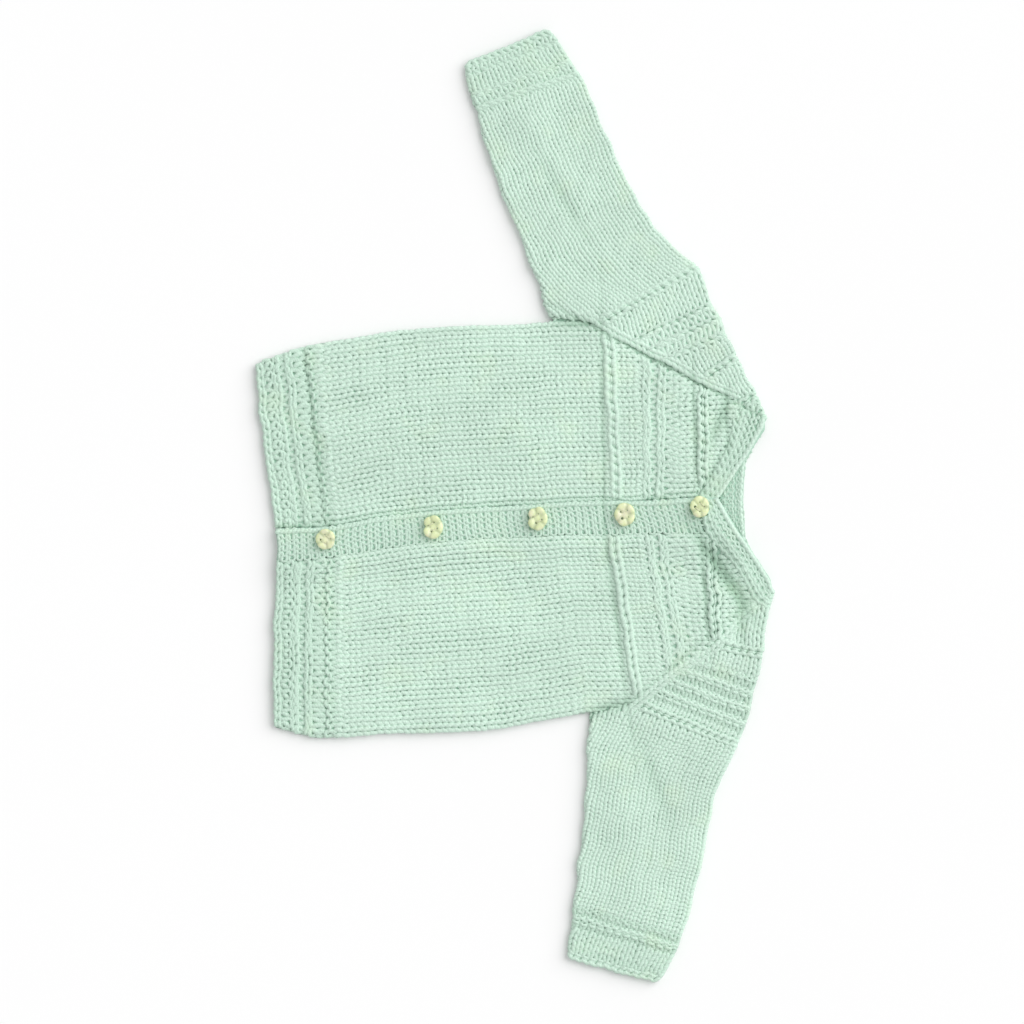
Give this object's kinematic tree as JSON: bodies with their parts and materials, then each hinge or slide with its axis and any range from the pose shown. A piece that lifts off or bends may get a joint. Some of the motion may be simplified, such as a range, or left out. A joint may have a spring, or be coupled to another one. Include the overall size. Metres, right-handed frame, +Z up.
{
  "type": "baby cardigan",
  "caption": "Hand-knitted raglan baby cardigan, laid flat and buttoned, with a ribbed front band, textured yoke and hem, and flower-shaped buttons.",
  "frame": {"origin": "centre of the bounding box at the level of the surface the cardigan rests on", "axes": "+X runs from the wearer's right cuff to the left cuff, +Y from the hem to the neck, +Z up out of the front"},
  "size_m": [0.5255, 0.286, 0.0098],
  "materials": {
    "back": "hand-knitted mint yarn, soft and matt",
    "front_right": "hand-knitted mint yarn, soft and matt",
    "front_left": "hand-knitted mint yarn, soft and matt",
    "sleeve_right": "hand-knitted mint yarn, soft and matt",
    "sleeve_left": "hand-knitted mint yarn, soft and matt",
    "buttonhole_band": "ribbed mint yarn, soft and matt",
    "button_band": "knitted mint yarn, soft and matt",
    "neckband": "knitted mint yarn in ridges, soft and matt",
    "button_1": "pale yellow-green, softly glossy",
    "button_2": "pale yellow-green, softly glossy",
    "button_3": "pale yellow-green, softly glossy",
    "button_4": "pale yellow-green, softly glossy",
    "button_5": "pale yellow-green, softly glossy"
  },
  "bodies": {
    "root": {"back": "back", "front_right": "front_right", "front_left": "front_left", "sleeve_right": "sleeve_right", "sleeve_left": "sleeve_left", "buttonhole_band": "buttonhole_band", "button_band": "button_band", "neckband": "neckband", "button_1": "button_1", "button_2": "button_2", "button_3": "button_3", "button_4": "button_4", "button_5": "button_5"}
  },
  "joints": []
}
